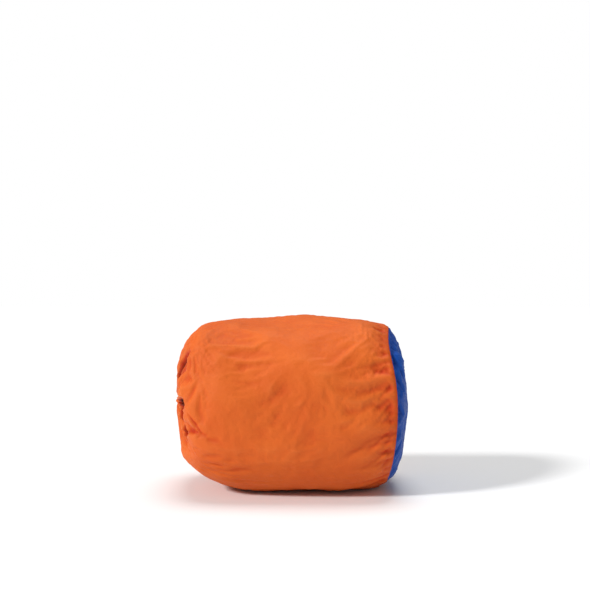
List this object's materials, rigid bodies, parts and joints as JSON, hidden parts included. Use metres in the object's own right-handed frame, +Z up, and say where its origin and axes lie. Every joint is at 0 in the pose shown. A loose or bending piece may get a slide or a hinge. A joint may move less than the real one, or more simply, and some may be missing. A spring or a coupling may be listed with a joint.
{
  "type": "packed emergency sleeping bag in stuff sack",
  "caption": "Short, stuffed nylon sack lying on its side: round panel sewn on one end, the other gathered shut in radial folds, a thin sleeping bag packed inside.",
  "frame": {"origin": "under the middle of the sack, on the surface that it lies on", "axes": "+X along the sack's length towards the round end panel, -Y to the front, +Z up"},
  "size_m": [0.1157, 0.0816, 0.0867],
  "materials": {
    "orange_nylon": "crinkled thin nylon, slight sheen",
    "blue_nylon": "crinkled thin nylon, slight sheen"
  },
  "bodies": {
    "root": {"sack_body": "orange_nylon", "end_panel": "blue_nylon"}
  },
  "joints": []
}
